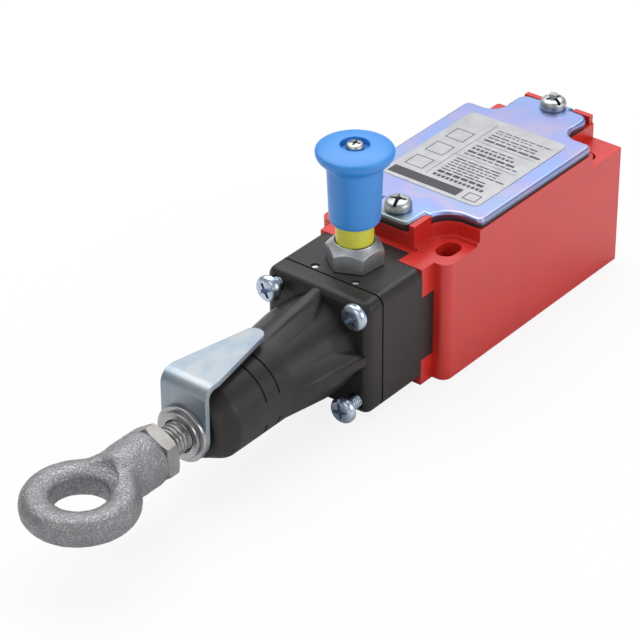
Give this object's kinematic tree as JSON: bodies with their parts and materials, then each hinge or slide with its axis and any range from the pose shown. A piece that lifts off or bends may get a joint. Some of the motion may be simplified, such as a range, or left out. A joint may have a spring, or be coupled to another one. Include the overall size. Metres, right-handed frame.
{
  "type": "rope pull safety switch",
  "caption": "Latching rope pull switch: red casing with plate cover, ribbed black barrel, forged pull eye, tension bracket and pull-up reset knob over a cam, rocker and contact block.",
  "frame": {"origin": "middle of the casing's flat mounting face", "axes": "+X from the rope's eye to the cable entry, +Z from the mounting face to the cover"},
  "size_m": [0.2032, 0.04, 0.0667],
  "materials": {
    "red_casing": "smooth moulded thermoplastic, satin",
    "black_rubber": "matt moulded rubber",
    "passivated_zinc": "blue iridescent zinc passivation over brushed sheet",
    "screw_steel": "bright zinc plated",
    "label_foil": "silver foil with plain printed bands",
    "ivory_plastic": "moulded insulating plastic",
    "contact_brass": "plated brass",
    "slide_plastic": "moulded slide",
    "spring_steel": "drawn spring wire",
    "black_plastic": "glass filled moulding, satin with faint mottling",
    "blue_zinc_steel": "blue zinc plated",
    "pin_steel": "ground pin",
    "roller_plastic": "natural acetal",
    "rod_steel": "turned steel",
    "bracket_zinc": "bright blue zinc on bent strip",
    "washer_steel": "stainless washer",
    "nut_steel": "stainless nut",
    "forged_steel": "rough hot dip galvanised forging",
    "yellow_plastic": "moulded indicator sleeve",
    "blue_plastic": "satin moulded knob"
  },
  "bodies": {
    "casing": {"body_housing": "red_casing", "cover_gasket": "black_rubber", "cover_plate": "passivated_zinc", "cover_screws": "screw_steel", "rating_label": "label_foil", "contact_block": "ivory_plastic", "contact_block_screws": "screw_steel", "fixed_contacts": "contact_brass", "terminal_clamps": "contact_brass", "terminal_screws": "screw_steel", "earth_clamp": "contact_brass", "earth_screw": "screw_steel", "head_housing": "black_plastic", "head_gasket": "black_rubber", "barrel": "black_plastic", "head_screws": "blue_zinc_steel", "head_pins": "pin_steel", "rocker_pivots": "pin_steel", "main_spring": "spring_steel", "plunger_spring": "spring_steel", "reset_bushing": "nut_steel", "reset_nut": "nut_steel", "indicator_sleeve": "yellow_plastic", "reset_spring": "spring_steel"},
    "pull": {"pull_rod": "rod_steel", "spring_seat": "rod_steel", "cam_slide": "roller_plastic", "cam_screw": "screw_steel", "tension_bracket": "bracket_zinc", "flat_washer": "washer_steel", "spring_washer": "washer_steel", "lock_nut": "nut_steel", "eye_nut": "forged_steel"},
    "rocker": {"rocker": "pin_steel", "rocker_roller": "roller_plastic", "roller_pin": "pin_steel"},
    "plunger": {"contact_plunger": "slide_plastic", "contact_bridges": "contact_brass", "bridge_springs": "spring_steel"},
    "reset": {"reset_stem": "pin_steel", "reset_knob": "blue_plastic", "reset_knob_screw": "screw_steel"}
  },
  "joints": [
    {"name": "rope_pull", "type": "slide", "parent": "casing", "child": "pull", "axis": [-1, 0, 0], "range_m": [0, 0.012], "stiffness_N_per_m": 1500, "springref_m": -0.01, "deforming": ["main_spring"]},
    {"name": "rocker_turn", "type": "hinge", "parent": "casing", "child": "rocker", "pos_m": [-0.0475, 0, 0.0185], "axis": [0, 1, 0], "range_deg": [0, 16.6]},
    {"name": "plunger_push", "type": "slide", "parent": "casing", "child": "plunger", "axis": [1, 0, 0], "range_m": [0, 0.00211], "deforming": ["plunger_spring"]},
    {"name": "reset_pull", "type": "slide", "parent": "casing", "child": "reset", "axis": [0, 0, 1], "range_m": [0, 0.005], "stiffness_N_per_m": 300, "springref_m": -0.003, "deforming": ["reset_spring"]}
  ],
  "couplings": [
    {"joint": "rocker_turn", "follows": "rope_pull", "rad_per_m": 24},
    {"joint": "plunger_push", "follows": "rope_pull", "ratio": 0.1744}
  ]
}
